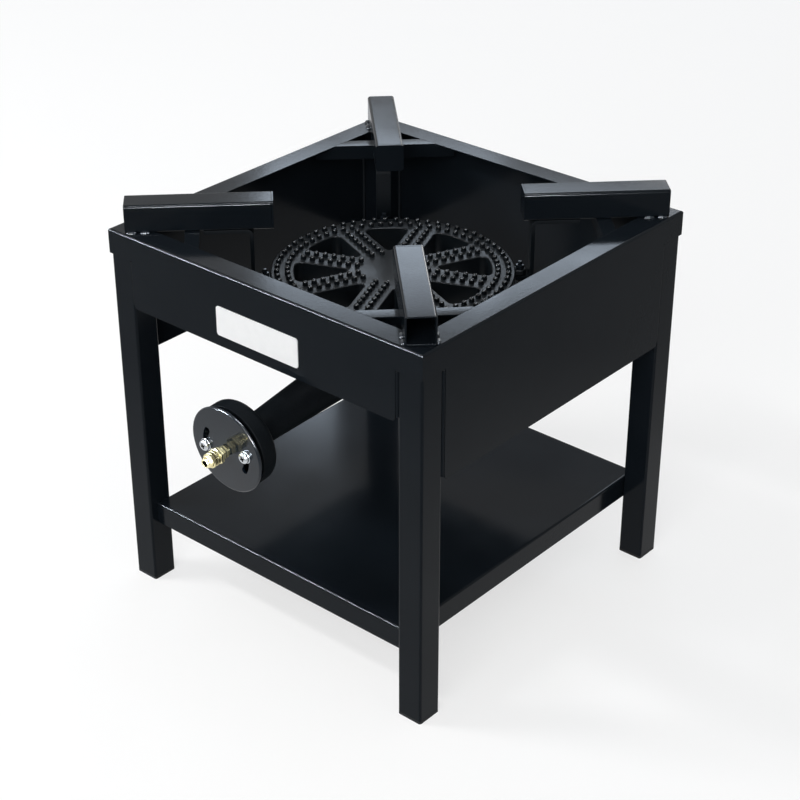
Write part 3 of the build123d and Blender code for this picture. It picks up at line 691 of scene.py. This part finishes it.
class STOVE_OT_burner_wheel(bpy.types.Operator):
    """Models the cast burner wheel with its windows, ears and neck"""
    bl_idname = "stove.burner_wheel"
    bl_label = "Burner Wheel"

    def execute(self, context):
        sizes = context.scene.stove_sizes
        top = HEAD_HIGH.z - sizes.port_height
        low = top - sizes.head_depth
        wheel = begin("burner_wheel", bpy.ops.mesh.primitive_circle_add, vertices=WHEEL_SIDES,
                      radius=BURNER_RADIUS, fill_type="NGON", location=BURNER + Vector((0, 0, low)))
        extrude((0, 0, sizes.head_depth))
        tidy()
        bpy.ops.object.mode_set(mode="OBJECT")
        cut(wheel, self.ears(), "UNION")
        cut(wheel, self.windows(low, sizes))
        soften(wheel, sizes.casting_edge, segments=3)
        cut(wheel, self.neck(low), "UNION")
        settle(wheel, "cast_iron", nodes=["burner_head"], finish=dressed_black_cast_iron)
        return {"FINISHED"}

    def neck(self, low):
        """The round neck from the flange up into the wheel."""
        top = low + NECK_LAP * MM - HEAD_LOW.z
        neck = turned("burner_neck", rounded([(0, 0, 0), (0, NECK_RADIUS * MM, NECK_ROUND * MM),
                                              (top, NECK_RADIUS * MM, 0), (top, 0, 0)]),
                      BURNER + Vector((0, 0, HEAD_LOW.z)), UP)
        bpy.ops.object.mode_set(mode="OBJECT")
        return neck

    def windows(self, low, sizes):
        """Cutters for the openings between the spokes."""
        half = pi / sizes.spoke_count
        apex = sizes.spoke_width / 2 / sin(half)
        inner = BURNER_RADIUS - sizes.ring_width
        # The corner where a spoke's edge meets the ring's inner circle
        reach = half - asin(sizes.spoke_width / 2 / inner)
        # Points of that circle, from three fifths of the way to one corner to three fifths of the way to the other
        arc = [(inner * cos(reach * k / 5), inner * sin(reach * k / 5), 0) for k in range(-3, 4)]
        corner = (inner * cos(reach), inner * sin(reach), WINDOW_OUTER_ROUND * MM)
        middle = (apex + inner) / 2
        edge = (middle, (middle - apex) * tan(half), 0)
        outline = rounded([(edge[0], -edge[1], 0), (corner[0], -corner[1], corner[2]), *arc, corner, edge,
                           (apex, 0, WINDOW_INNER_ROUND * MM), (edge[0], -edge[1], 0)])[:-1]
        window = plate("window", [BURNER + Vector((p[0], p[1], low - WINDOW_CLEAR * MM)) for p in outline],
                       Vector((0, 0, sizes.head_depth + 2 * WINDOW_CLEAR * MM)))
        around(window, BURNER, sizes.spoke_count)
        return window

    def ears(self):
        """The four ears that rest on the hangers."""
        ear = begin("ear", bpy.ops.mesh.primitive_circle_add, vertices=32, radius=EAR_RADIUS * MM,
                    fill_type="NGON", location=EAR_BOLT + Vector((0, 0, NUT_LOW.z - EAR_THICK * MM)))
        inward = Vector((-1, -1, 0)).normalized()
        pick(ear, "VERT", lambda vert: vert.co.dot(inward) > 0.1 * MM)
        bpy.ops.transform.translate(value=inward * EAR_ROOT * MM)
        bpy.ops.mesh.select_mode(type="FACE")
        bpy.ops.mesh.select_all(action="SELECT")
        extrude((0, 0, EAR_THICK * MM))
        tidy()
        around(ear, BURNER, 4)
        return ear


class STOVE_OT_gas_ports(bpy.types.Operator):
    """Models one raised, drilled gas port and repeats it over ring and spokes"""
    bl_idname = "stove.gas_ports"
    bl_label = "Gas Ports"

    def execute(self, context):
        sizes = context.scene.stove_sizes
        rows = []
        for row, inset in enumerate(RING_ROWS):
            port = self.port(sizes, BURNER_RADIUS - inset * MM, pi / sizes.ring_ports * row)
            around(port, BURNER, sizes.ring_ports)
            rows.append(port)
        for side in (-1, 1):
            port = self.port(sizes, SPOKE_ROW_START * MM, 0, side * SPOKE_ROW_SIDE * MM)
            in_row(port, sizes.spoke_ports, (sizes.port_pitch, 0, 0))
            activate(port)
            bpy.ops.object.mode_set(mode="EDIT")
            bpy.ops.mesh.select_all(action="SELECT")
            bpy.ops.transform.rotate(value=pi / sizes.spoke_count, orient_axis="Z", center_override=BURNER)
            around(port, BURNER, sizes.spoke_count)
            rows.append(port)
        settle(join("burner_ports", rows), "cast_iron", angle=60, finish=rubbed_black_iron)
        return {"FINISHED"}

    def port(self, sizes, along, angle, across=0.0):
        """One port: a tapered stud with a blind hole, its foot sunk a little into the casting."""
        height = sizes.port_height + PORT_SUNK * MM
        place = BURNER + Vector((along * cos(angle) - across * sin(angle),
                                 along * sin(angle) + across * cos(angle), 0))
        place.z = HEAD_HIGH.z - height / 2
        crown = sizes.port_radius * PORT_TAPER
        port = begin("port", bpy.ops.mesh.primitive_cone_add, vertices=PORT_SIDES, radius1=sizes.port_radius,
                     radius2=crown, depth=height, location=place)
        pick(port, "EDGE", lambda edge: all(vert.co.z > 0 for vert in edge.verts))
        bpy.ops.mesh.bevel(offset=crown * PORT_ROUND, offset_type="OFFSET", segments=2, affect="EDGES")
        pick(port, "FACE", lambda face: face.normal.z > 0.99)
        bpy.ops.mesh.inset(thickness=crown * PORT_ROUND - sizes.port_hole)
        extrude((0, 0, -PORT_HOLE_DEPTH * MM))
        bpy.ops.object.mode_set(mode="OBJECT")
        return port


class STOVE_OT_mixing_tube(bpy.types.Operator):
    """Models the mixing tube's bell, flaring run, elbow, flange and the bridge across its mouth"""
    bl_idname = "stove.mixing_tube"
    bl_label = "Mixing Tube"

    def execute(self, context):
        # The bell is turned from its closed floor over the rim and back to the throat
        tube = turned_forward("mixing_tube_casting", BELL_PROFILE, steps=72, parts=6)
        throat = on_tube(0, 0, THROAT_REACH * MM)
        pick(tube, "EDGE", lambda edge: all(abs((vert.co - throat).dot(FORWARD)) < TOUCH_GAP * MM
                                            for vert in edge.verts))
        # The run rises, widens and straightens from the bell to the elbow
        growth = (RUN_RADIUS / THROAT_RADIUS - 1) / RUN_STEPS
        for step in range(1, RUN_STEPS + 1):
            extrude((ELBOW - throat) / RUN_STEPS)
            place = throat.lerp(ELBOW, step / RUN_STEPS)
            wider = (1 + growth * step) / (1 + growth * (step - 1))
            bpy.ops.transform.resize(value=(wider, wider, wider), center_override=place)
            bpy.ops.transform.rotate(value=LEAN / RUN_STEPS, orient_axis="X", center_override=place)
        ring = [vert.co.y for vert in bmesh.from_edit_mesh(tube.data).verts if vert.select]
        if max(ring) - min(ring) > SQUARE_GAP * MM:
            raise RuntimeError("The tube's end isn't square to the elbow")
        bpy.ops.mesh.spin(steps=ELBOW_STEPS, angle=-pi / 2, center=ELBOW_PIVOT, axis=RIGHT)
        extrude((0, 0, FLANGE.z - ELBOW_PIVOT.z))
        extrude((0, 0, 0))
        wider = FLANGE_RADIUS / RUN_RADIUS
        bpy.ops.transform.resize(value=(wider, wider, 1), center_override=FLANGE)
        extrude((0, 0, FLANGE_THICK * MM))
        bpy.ops.mesh.edge_face_add()
        tidy()
        soften(tube, TUBE_ROUND * MM)
        cut(tube, self.bridge(), "UNION")
        cut(tube, self.bosses(), "UNION")
        settle(tube, "cast_iron", nodes=["mixing_tube"])
        return {"FINISHED"}

    def bridge(self):
        """The bar across the bell's mouth."""
        bridge = begin("bridge", bpy.ops.mesh.primitive_cube_add, size=1,
                       location=on_tube(0, 0, BRIDGE_REACH * MM), rotation=facing_front(SLOT_TILT),
                       scale=BRIDGE_EXTENT)
        bpy.ops.object.mode_set(mode="OBJECT")
        bpy.ops.object.transform_apply(location=False, rotation=False, scale=True)
        soften(bridge, TUBE_ROUND * MM)
        return bridge

    def bosses(self):
        """The middle boss and the two screw bosses."""
        middle = turned_forward("bosses", MIDDLE_BOSS_PROFILE, steps=40)
        screw = turned_forward("screw_boss", SCREW_BOSS_PROFILE, steps=32, base=SCREW_START)
        around(screw, TUBE_START, 2, FORWARD)
        return join("bosses", (middle, screw))


class STOVE_OT_air_shutter(bpy.types.Operator):
    """Models the air shutter with its rolled edge and arc slots"""
    bl_idname = "stove.air_shutter"
    bl_label = "Air Shutter"

    def execute(self, context):
        disc = turned_forward("air_shutter_disc", SHUTTER_PROFILE, steps=96)
        bpy.ops.object.mode_set(mode="OBJECT")
        outline = [self.slot_point(part, k / SLOT_POINTS) for part in range(4) for k in range(SLOT_POINTS)]
        slot = plate("slot", outline, FORWARD * -SLOT_CUT_DEPTH * MM)
        around(slot, TUBE_START, 2, FORWARD)
        cut(disc, slot)
        settle(disc, "shutter_steel", body=SHUTTER_BODY, nodes=["air_shutter"])
        return {"FINISHED"}

    def slot_point(self, part, share):
        """Point of a slot's outline, whose parts are its outer arc, a round end, its inner arc and a round end."""
        half = SLOT_HALF_WIDTH * MM
        if part in (1, 3):
            angle = SLOT_TILT - (SLOT_SWEEP if part == 1 else 0)
            middle = Vector((cos(angle), sin(angle))) * SLOT_RADIUS
            turn = angle - pi * share + (pi if part == 3 else 0)
            across, up = middle.x + half * cos(turn), middle.y + half * sin(turn)
        else:
            angle = SLOT_TILT - SLOT_SWEEP * (share if part == 0 else 1 - share)
            out = SLOT_RADIUS + (half if part == 0 else -half)
            across, up = out * cos(angle), out * sin(angle)
        return on_tube(across, up, SLOT_CUT_START * MM)


class STOVE_OT_fasteners(bpy.types.Operator):
    """Models the shutter's screws and washers and the burner's bolts and nuts"""
    bl_idname = "stove.fasteners"
    bl_label = "Fasteners"

    def execute(self, context):
        washer = turned_forward("shutter_washer_rings", WASHER_PROFILE, steps=40, base=SCREW_START)
        around(washer, TUBE_START, 2, FORWARD)
        settle(washer, "zinc", nodes=["shutter_washers"])
        screw = turned_forward("shutter_pan_screws", SCREW_PROFILE, steps=40, base=SCREW_START)
        for turn in (RECESS_TURN, RECESS_TURN + pi / 2):
            cut(screw, self.recess_arm(turn))
        around(screw, TUBE_START, 2, FORWARD)
        settle(screw, "zinc", nodes=["shutter_screws"])
        self.burner_bolts()
        return {"FINISHED"}

    def recess_arm(self, turn):
        """One arm of the cross recess, narrower at its floor."""
        arm = begin("arm", bpy.ops.mesh.primitive_cube_add, size=1, location=(0, 0, 0), scale=RECESS_EXTENT)
        pick(arm, "FACE", lambda face: face.normal.y > 0.9)
        bpy.ops.transform.resize(value=RECESS_TAPER, center_override=(0, 0, 0))
        bpy.ops.object.mode_set(mode="OBJECT")
        arm.location = SCREW_START + FORWARD * RECESS_REACH * MM
        arm.rotation_euler = facing_front(turn)
        return arm

    def burner_bolts(self):
        """Hexagon bolts and nuts at the burner's ears."""
        flats, shank = BOLT_FLATS * MM, SHANK_RADIUS * MM
        nut = hexagon("burner_hex_nuts", EAR_BOLT, UP, NUT_LOW.z, NUT_HIGH.z, flats)
        around(nut, BURNER, 4)
        settle(nut, "black_steel", nodes=["burner_nuts"])
        bolt = hexagon("burner_hex_bolts", EAR_BOLT, UP, BOLT_LOW.z, BOLT_LOW.z + BOLT_HEAD * MM, flats)
        start = BOLT_LOW.z + SHANK_START * MM
        profile = rounded([(start, 0, 0), (start, shank, 0), (BOLT_HIGH.z, shank, SHANK_ROUND * MM),
                           (BOLT_HIGH.z, 0, 0)])
        cut(bolt, turned("shank", profile, EAR_BOLT, UP, steps=24), "UNION")
        around(bolt, BURNER, 4)
        settle(bolt, "black_steel", nodes=["burner_bolts"])


class STOVE_OT_inlet(bpy.types.Operator):
    """Models the brass inlet with its hexagons, thread and flare nose"""
    bl_idname = "stove.inlet"
    bl_label = "Gas Inlet"

    def execute(self, context):
        core = turned_forward("inlet_flare_fitting", INLET_PROFILE, steps=64)
        bpy.ops.object.mode_set(mode="OBJECT")
        for name, (low, high, flats) in INLET_HEXAGONS.items():
            cut(core, hexagon(name, TUBE_START, FORWARD, low * MM, high * MM, flats * MM), "UNION")
        cut(core, self.thread(context.scene.stove_sizes.thread_pitch), "UNION")
        settle(core, "brass", nodes=["inlet_fitting"])
        return {"FINISHED"}

    def thread(self, pitch):
        """The helical ridge of the thread."""
        start = -THREAD_START * MM
        ridge = draw("thread", [Vector((radius * MM, start - pitch * share, 0)) for radius, share in THREAD_RIDGE])
        bpy.ops.mesh.select_all(action="SELECT")
        bpy.ops.mesh.edge_face_add()
        bpy.ops.mesh.delete(type="ONLY_FACE")
        bpy.ops.object.mode_set(mode="OBJECT")
        modify(ridge, "SCREW", axis="Y", angle=2 * pi, screw_offset=-pitch,
               iterations=int(THREAD_LENGTH * MM / pitch), steps=THREAD_STEPS, render_steps=THREAD_STEPS,
               use_merge_vertices=False)
        ridge.location = TUBE_START
        ridge.rotation_euler = (LEAN, 0, 0)
        activate(ridge)
        bpy.ops.object.transform_apply(location=True, rotation=True, scale=False)
        cap(ridge)
        return ridge


class STOVE_OT_welds(bpy.types.Operator):
    """Models the tack welds at the pot supports and the seams that close the slits beside the legs"""
    bl_idname = "stove.welds"
    bl_label = "Welds"

    def execute(self, context):
        self.tacks(context.scene.stove_sizes.weld_width)
        self.seams()
        return {"FINISHED"}

    def tacks(self, width):
        """Two short tacks on each side of each pot support, where it crosses the rim."""
        outward = Vector((1, -1, 0)).normalized()
        side = Vector((1, 1, 0)).normalized()
        start = outward * TACK_OUT * MM + side * TACK_SIDE * MM + Vector((0, 0, RIM_TOP + TACK_LIFT * MM))
        drops = []
        for step, swell in enumerate(TACK_SWELLS):
            drop = begin("tack_welds", bpy.ops.mesh.primitive_ico_sphere_add, subdivisions=3,
                         radius=width / 2 * swell, location=start + outward * TACK_STEP * MM * step)
            bpy.ops.transform.resize(value=(1, 1, TACK_FLATNESS))
            drops.append(drop)
        tacks = join("tack_welds", drops)
        bpy.ops.object.transform_apply(location=True, rotation=True, scale=True)
        modify(tacks, "REMESH", mode="VOXEL", voxel_size=TACK_VOXEL * MM)
        modify(tacks, "SMOOTH", factor=0.5, iterations=4)
        in_row(tacks, 2, outward * TACK_GAP * MM)
        bpy.ops.object.empty_add(location=(0, 0, 0), rotation=(0, 0, pi / 4))
        plane = bpy.context.object
        modify(tacks, "MIRROR", use_axis=(True, False, False), mirror_object=plane)
        bpy.data.objects.remove(plane)
        around(tacks, (0, 0, 0), 4)
        # Paint runs together on the beads, thick and glossy
        settle(tacks, "black_steel", angle=60, finish=gloss_black_enamel)

    def seams(self):
        """A rippled bead behind each slit, from the band down to the apron's lower edge."""
        top = RIM_TOP - SEAM_BELOW_RIM * MM
        beads = []
        for side, (x, y) in SIDES.items():
            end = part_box(f"apron_{side}")[0].z + SEAM_ABOVE_EDGE * MM
            for hand in (-1, 1):
                place = Vector((x * SEAM_WALL + hand * SEAM_SLIT * abs(y),
                                y * SEAM_WALL + hand * SEAM_SLIT * abs(x), top))
                beads.append(self.bead(place, top - end))
        settle(join("leg_seams", beads), "black_steel", angle=60)

    def bead(self, place, length):
        """One bead of ripples, hanging down from a place."""
        ripple = BEAD_RIPPLE * MM
        bead = begin("bead", bpy.ops.mesh.primitive_circle_add, vertices=BEAD_SIDES, radius=BEAD_RADIUS * MM,
                     location=place)
        for swell in (BEAD_WAIST, 1 / BEAD_WAIST):
            extrude((0, 0, -ripple / 2))
            bpy.ops.transform.resize(value=(swell, swell, 1))
        in_row(bead, int(length / ripple), (0, 0, -ripple), use_merge_vertices=True,
               merge_threshold=TOUCH_GAP * MM)
        cap(bead)
        bpy.ops.object.transform_apply(location=True, rotation=True, scale=True)
        return bead


class STOVE_OT_sheet_edges(bpy.types.Operator):
    """Breaks the sharp edges of the frame's sheets and tubes, so that they catch the light"""
    bl_idname = "stove.sheet_edges"
    bl_label = "Sheet Edges"

    def execute(self, context):
        width = context.scene.stove_sizes.sheet_edge
        for name, node in frame["nodes"].items():
            if not name.startswith(SHEET_NODES):
                continue
            weld = node.modifiers.new("joined_triangles", "WELD")
            weld.merge_threshold = TOUCH_GAP * MM
            edge = node.modifiers.new("broken_edges", "BEVEL")
            edge.width = width * (POT_SUPPORT_EDGE if name.startswith("pot_support") else 1)
            edge.segments = 2
            edge.limit_method = "ANGLE"
            edge.angle_limit = radians(SHARP)
            # Flat faces and bends keep their own direction right up to the broken edges
            node.modifiers.new("flat_faces", "WEIGHTED_NORMAL")
        return {"FINISHED"}


class STOVE_OT_stage(bpy.types.Operator):
    """Sets the floor, the lights and the camera"""
    bl_idname = "stove.stage"
    bl_label = "Stage"

    def execute(self, context):
        floor = begin("floor", bpy.ops.mesh.primitive_plane_add, size=FLOOR_WIDTH)
        bpy.ops.mesh.subdivide(number_cuts=FLOOR_CUTS)
        bpy.ops.object.mode_set(mode="OBJECT")
        floor.data.materials.append(self.floor_finish())
        self.flag()
        self.world(context)
        for softbox in SOFTBOXES:
            self.softbox(*softbox)
        camera = bpy.data.cameras.new("photo_camera")
        camera.lens = LENS
        camera.sensor_width = SENSOR
        camera.clip_end = SIGHT
        eye = bpy.data.objects.new("photo_camera", camera)
        eye.location = EYE
        eye.rotation_euler = EYE_TURN
        context.scene.collection.objects.link(eye)
        context.scene.camera = eye
        context.scene.view_settings.view_transform = "Standard"
        return {"FINISHED"}

    def flag(self):
        """A dim card behind the stove, seen by mirrors alone, that hides the back lamps from the shelf's far half."""
        card = begin("flag", bpy.ops.mesh.primitive_plane_add, size=1, location=CARD_PLACE, rotation=CARD_TURN)
        bpy.ops.transform.resize(value=CARD_EXTENT)
        bpy.ops.object.mode_set(mode="OBJECT")
        paper = bpy.data.materials.new("grey_card")
        paper.use_nodes = True
        tree = paper.node_tree
        tree.nodes.clear()
        glow = add_node(tree, "ShaderNodeEmission", sockets={"Color": linear("#e6ecf4"), "Strength": 0.9})
        add_node(tree, "ShaderNodeOutputMaterial", sockets={"Surface": glow.outputs[0]})
        card.data.materials.append(paper)
        card.visible_camera = card.visible_diffuse = card.visible_shadow = card.visible_transmission = False

    def softbox(self, name, place, target, extent, power, tint, mirrored_only):
        """A soft area light aimed at a point, kept out of the camera's own sight."""
        lamp = bpy.data.lights.new(name, "AREA")
        lamp.shape = "RECTANGLE"
        lamp.size, lamp.size_y = extent
        lamp.energy = power
        lamp.color = linear(tint)[:3]
        box = bpy.data.objects.new(name, lamp)
        box.location = place
        box.rotation_euler = (Vector(target) - Vector(place)).to_track_quat("-Z", "Y").to_euler()
        box.visible_camera = False
        box.visible_diffuse = not mirrored_only
        bpy.context.scene.collection.objects.link(box)

    def seen(self, tree):
        """One for rays that reach the eye straight, by a reflection or through glass."""
        path = add_node(tree, "ShaderNodeLightPath")
        mirror = add_node(tree, "ShaderNodeMath", {"operation": "MAXIMUM"},
                          {0: path.outputs["Is Camera Ray"], 1: path.outputs["Is Glossy Ray"]})
        both = add_node(tree, "ShaderNodeMath", {"operation": "MAXIMUM"},
                        {0: mirror.outputs[0], 1: path.outputs["Is Transmission Ray"]})
        return both.outputs[0]

    def floor_finish(self):
        """Pale matt floor that looks white to the eye and keeps the shadow."""
        material = bpy.data.materials.new("pale_floor")
        material.use_nodes = True
        tree = material.node_tree
        tree.nodes.clear()
        matt = add_node(tree, "ShaderNodeBsdfDiffuse", sockets={"Color": linear("#9c9c9c")})
        # Painted light: mirrors see a brighter glow on the floor round the feet that fades dimmer beyond it, the eye
        # an even white
        place = add_node(tree, "ShaderNodeTexCoord").outputs["Object"]
        far = add_node(tree, "ShaderNodeVectorMath", {"operation": "LENGTH"}, {0: place})
        # Painted pool of light seen in mirrors alone: the glow falls from 0.85 near the feet to 0.3 further out
        sweep = add_node(tree, "ShaderNodeMapRange",
                         sockets={"Value": far.outputs["Value"], "From Min": 0.45, "From Max": 0.8,
                                  "To Min": 0.85, "To Max": 0.3})
        path = add_node(tree, "ShaderNodeLightPath")
        strength = add_node(tree, "ShaderNodeMix", {"data_type": "FLOAT"},
                            {"Factor": path.outputs["Is Glossy Ray"], "A": 0.66, "B": sweep.outputs["Result"]})
        glow = add_node(tree, "ShaderNodeEmission", sockets={"Strength": strength.outputs["Result"]})
        lifted = add_node(tree, "ShaderNodeAddShader", sockets={0: matt.outputs[0], 1: glow.outputs[0]})
        mix = add_node(tree, "ShaderNodeMixShader",
                       sockets={0: self.seen(tree), 1: matt.outputs[0], 2: lifted.outputs[0]})
        add_node(tree, "ShaderNodeOutputMaterial", sockets={"Surface": mix.outputs[0]})
        return material

    def world(self, context):
        """White surroundings to the eye, with a softer share of light on the object."""
        world = bpy.data.worlds.new("studio")
        world.use_nodes = True
        tree = world.node_tree
        tree.nodes.clear()
        strength = add_node(tree, "ShaderNodeMapRange",
                            sockets={"Value": self.seen(tree), "To Min": 0.5, "To Max": 1.0})
        light = add_node(tree, "ShaderNodeBackground",
                         sockets={"Color": (1, 1, 1, 1), "Strength": strength.outputs["Result"]})
        add_node(tree, "ShaderNodeOutputWorld", sockets={"Surface": light.outputs[0]})
        context.scene.world = world


class STOVE_PT_panel(bpy.types.Panel):
    """Lists the stove's operators, sizes and finishes"""
    bl_label = "Stove"
    bl_idname = "STOVE_PT_panel"
    bl_space_type = "VIEW_3D"
    bl_region_type = "UI"
    bl_category = "Stove"

    def draw(self, context):
        for operator in OPERATORS:
            self.layout.operator(operator.bl_idname)
        for group in (context.scene.stove_sizes, context.scene.stove_finishes):
            for name in group.__annotations__:
                self.layout.prop(group, name)


OPERATORS = (STOVE_OT_finishes, STOVE_OT_burner_wheel, STOVE_OT_gas_ports, STOVE_OT_mixing_tube,
             STOVE_OT_air_shutter, STOVE_OT_fasteners, STOVE_OT_inlet, STOVE_OT_welds, STOVE_OT_sheet_edges,
             STOVE_OT_stage)
CLASSES = (StoveSizes, StoveFinishes, *OPERATORS, STOVE_PT_panel)


def register():
    for cls in CLASSES:
        bpy.utils.register_class(cls)
    bpy.types.Scene.stove_sizes = PointerProperty(type=StoveSizes)
    bpy.types.Scene.stove_finishes = PointerProperty(type=StoveFinishes)


def unregister():
    del bpy.types.Scene.stove_finishes
    del bpy.types.Scene.stove_sizes
    for cls in reversed(CLASSES):
        bpy.utils.unregister_class(cls)


def main():
    register()
    bpy.ops.stove.finishes()
    bpy.ops.stove.burner_wheel()
    bpy.ops.stove.gas_ports()
    bpy.ops.stove.mixing_tube()
    bpy.ops.stove.air_shutter()
    bpy.ops.stove.fasteners()
    bpy.ops.stove.inlet()
    bpy.ops.stove.welds()
    bpy.ops.stove.sheet_edges()
    bpy.ops.stove.stage()


if __name__ == "__main__":
    main()
